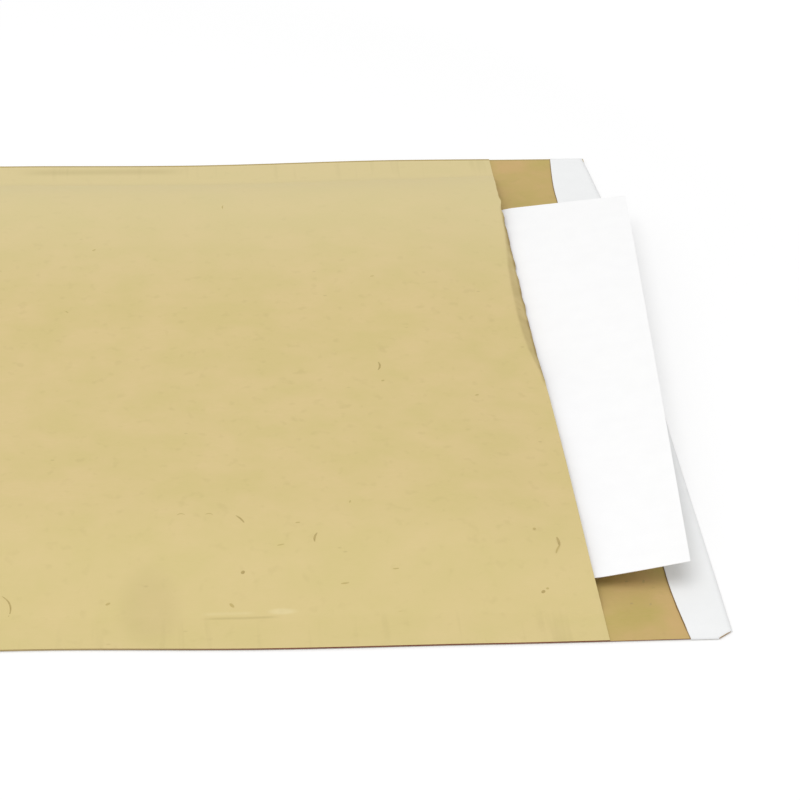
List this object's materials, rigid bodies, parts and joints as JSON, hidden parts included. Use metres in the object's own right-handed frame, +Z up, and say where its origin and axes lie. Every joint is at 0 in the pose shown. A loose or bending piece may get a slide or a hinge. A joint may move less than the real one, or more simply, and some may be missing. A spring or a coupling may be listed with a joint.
{
  "type": "padded envelope",
  "caption": "Padded kraft envelope lying on its back, flap open with its peel-off strip still on, and a sheet of paper sticking out of its mouth at a slight angle.",
  "frame": {"origin": "on the underside of the back sheet, at the middle of the pocket's length and width", "axes": "+X out of the pocket's mouth towards the flap's edge, +Y towards the far side seal, +Z up out of the surface that the envelope lies on"},
  "size_m": [0.4018, 0.28, 0.0126],
  "materials": {
    "kraft": "matt golden brown kraft paper",
    "lining": "cloudy polyethylene bubble film",
    "adhesive": "clear yellowish pressure sensitive adhesive",
    "liner": "smooth silicone coated white paper",
    "paper": "plain white office paper"
  },
  "bodies": {
    "root": {"kraft_cover": "kraft", "padded_lining": "lining", "adhesive_strip": "adhesive", "release_liner": "liner", "letter_sheet": "paper"}
  },
  "joints": []
}
